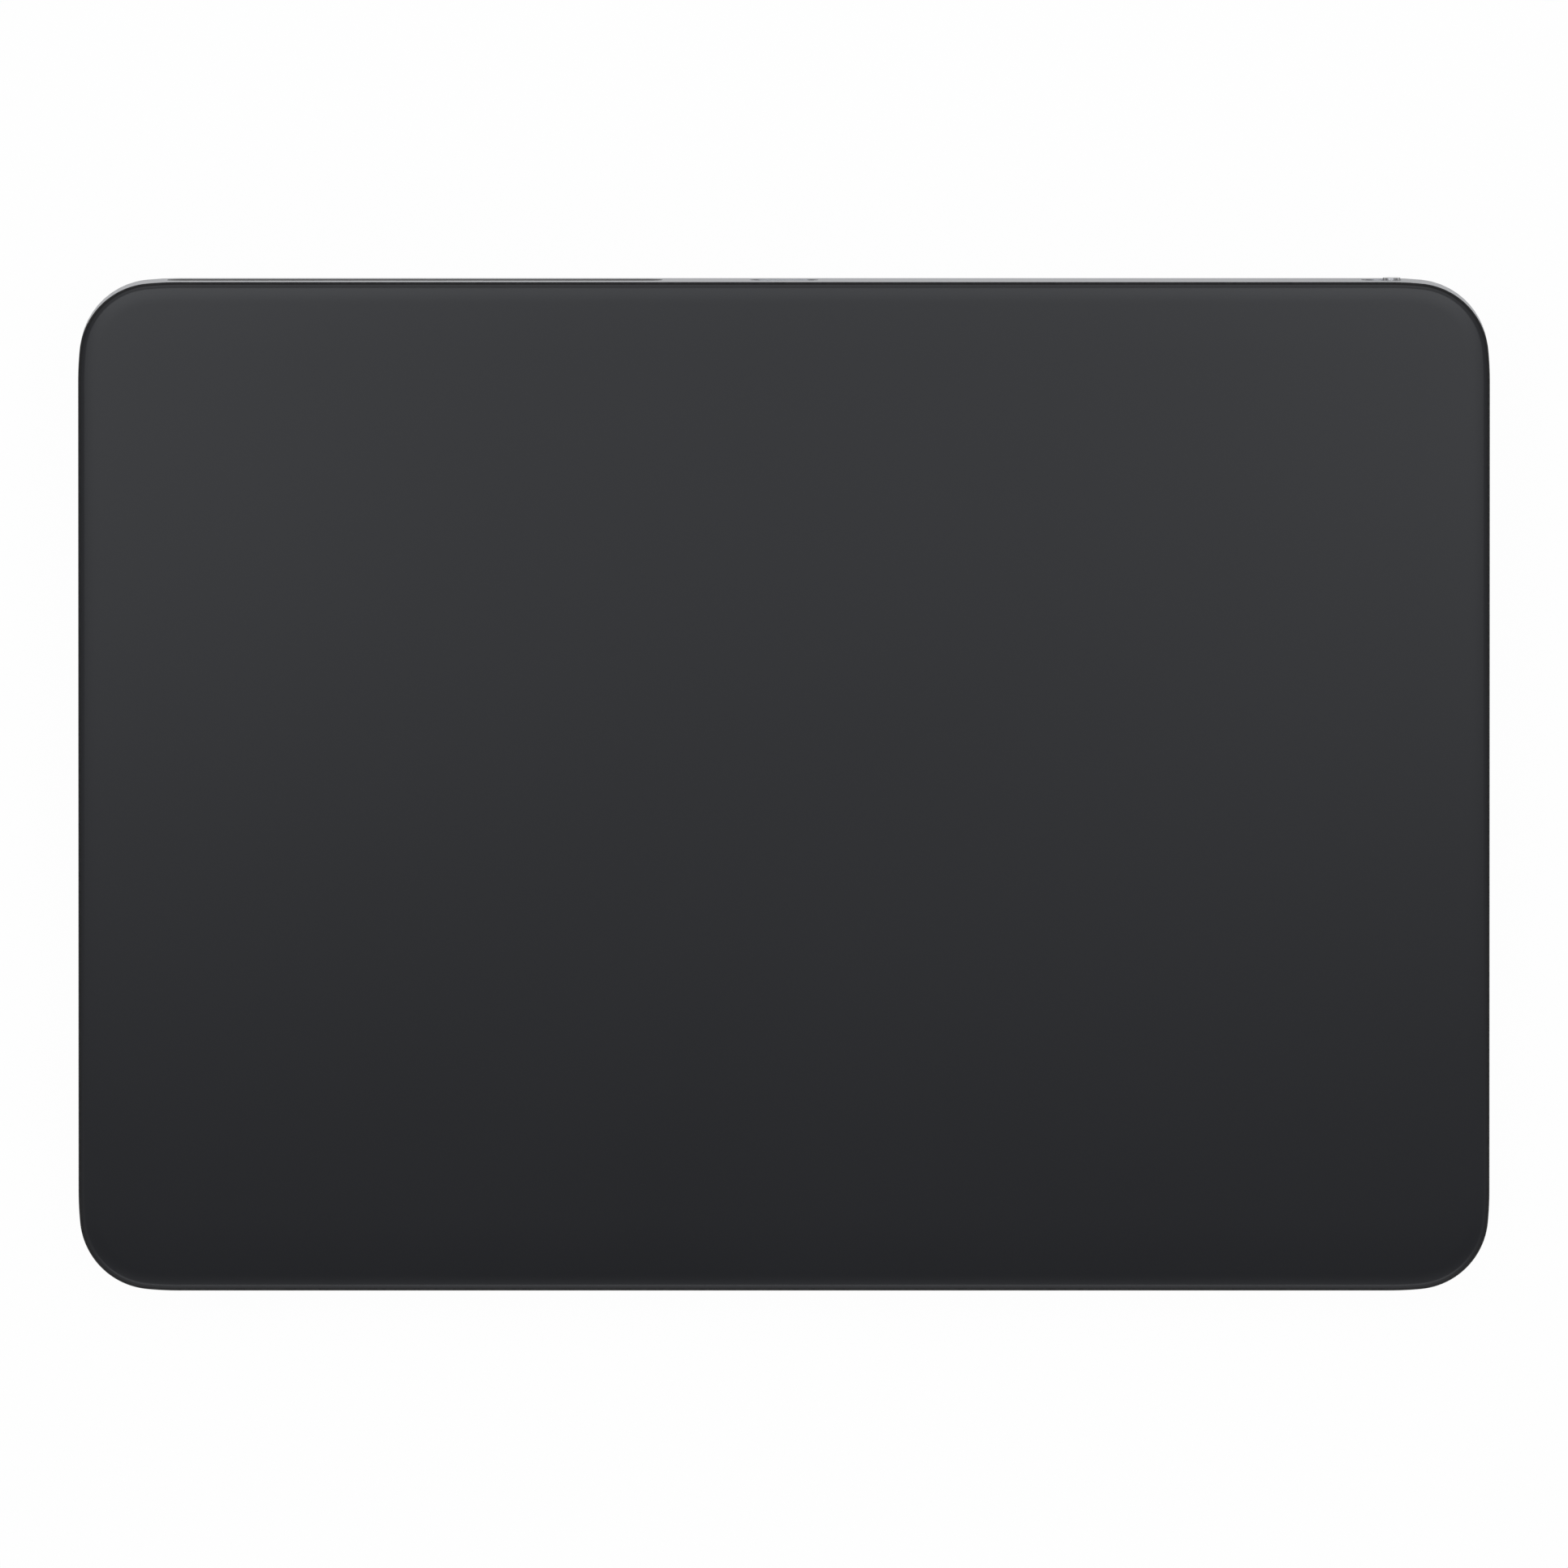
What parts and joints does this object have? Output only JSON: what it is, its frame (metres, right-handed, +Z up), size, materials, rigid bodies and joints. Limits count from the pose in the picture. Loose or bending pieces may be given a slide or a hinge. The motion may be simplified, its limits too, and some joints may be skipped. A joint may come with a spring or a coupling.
{
  "type": "trackpad",
  "caption": "Thin wireless trackpad: black glass touch surface on a wedge-shaped aluminium body, with a charging port, power switch and antenna window at the rear.",
  "frame": {"origin": "centre of the plan at desk level, under the feet", "axes": "+X to the user's right, +Y towards the rear edge, +Z up from the desk"},
  "size_m": [0.16, 0.115, 0.0109],
  "materials": {
    "satin_aluminium": "bead-blasted and anodised",
    "window_plastic": "fine matt moulding",
    "carrier_plastic": "moulded",
    "copper": "bare copper under clear lacquer",
    "cable_sheath": "extruded sheath",
    "port_steel": "drawn steel",
    "port_liner": "moulded",
    "gold_contacts": "plated",
    "sheet_steel": "rolled sheet",
    "screw_steel": "blackened",
    "knob_metal": "turned and polished",
    "switch_plastic": "moulded",
    "cell_foil": "laminated foil pouch",
    "glue": "clear adhesive",
    "circuit_board": "solder mask",
    "ribbon_film": "amber film over copper",
    "tinned_can": "tinned sheet",
    "chip_resin": "moulded resin",
    "core_steel": "stacked laminations",
    "touch_glass": "etched top, black backing print",
    "foot_rubber": "soft moulded disc",
    "gel": "soft gel"
  },
  "bodies": {
    "enclosure": {"actuator_coil_left": "copper", "actuator_coil_right": "copper", "actuator_core": "core_steel", "actuator_ribbon": "ribbon_film", "actuator_screws": "screw_steel", "actuator_yoke": "sheet_steel", "antenna_carrier": "carrier_plastic", "antenna_coax": "cable_sheath", "antenna_trace": "copper", "antenna_window": "window_plastic", "battery_cell": "cell_foil", "battery_glue": "glue", "battery_guard_board": "circuit_board", "battery_ribbon": "ribbon_film", "board_screws": "screw_steel", "charger_chip": "chip_resin", "coax_socket": "gold_contacts", "control_chip": "chip_resin", "driver_chip": "chip_resin", "enclosure": "satin_aluminium", "flexure_screws": "screw_steel", "foot_front_left": "foot_rubber", "foot_front_right": "foot_rubber", "foot_rear_left": "foot_rubber", "foot_rear_right": "foot_rubber", "main_board": "circuit_board", "port_contacts": "gold_contacts", "port_insulator": "port_liner", "port_ribbon": "ribbon_film", "port_screws": "screw_steel", "port_shell": "port_steel", "port_strap": "sheet_steel", "ribbon_plugs": "chip_resin", "shield_can": "tinned_can", "switch_body": "switch_plastic", "switch_ribbon": "ribbon_film", "switch_screws": "screw_steel", "switch_strap": "sheet_steel", "touch_ribbon": "ribbon_film"},
    "press_stage": {"force_flexure_front_left": "sheet_steel", "force_flexure_front_right": "sheet_steel", "force_flexure_rear_left": "sheet_steel", "force_flexure_rear_right": "sheet_steel", "gel_pad_front_left": "gel", "gel_pad_front_right": "gel", "gel_pad_rear_left": "gel", "gel_pad_rear_right": "gel", "strain_gauge_front_left": "ribbon_film", "strain_gauge_front_right": "ribbon_film", "strain_gauge_rear_left": "ribbon_film", "strain_gauge_rear_right": "ribbon_film"},
    "touch_plate": {"touch_glass": "touch_glass", "sensor_film": "glue", "touch_sensor_board": "circuit_board", "stiffener_plate": "sheet_steel", "armature": "core_steel"},
    "switch_slider": {"switch_knob": "knob_metal", "switch_carriage": "switch_plastic"}
  },
  "joints": [
    {"name": "touch_surface_press", "type": "slide", "parent": "enclosure", "child": "press_stage", "axis": [0, -0.0524, 0.9986], "range_m": [-0.0002, 0], "stiffness_N_per_m": 8000, "springref_m": 0.0003, "deforming": ["force_flexure_front_left", "force_flexure_front_right", "force_flexure_rear_left", "force_flexure_rear_right", "touch_ribbon"]},
    {"name": "haptic_shift", "type": "slide", "parent": "press_stage", "child": "touch_plate", "axis": [0, 0.9986, 0.0524], "range_m": [-0.00012, 0.00012], "stiffness_N_per_m": 12000, "deforming": ["gel_pad_front_left", "gel_pad_front_right", "gel_pad_rear_left", "gel_pad_rear_right"]},
    {"name": "power_switch_slide", "type": "slide", "parent": "enclosure", "child": "switch_slider", "axis": [-1, 0, 0], "range_m": [0, 0.00233]}
  ]
}
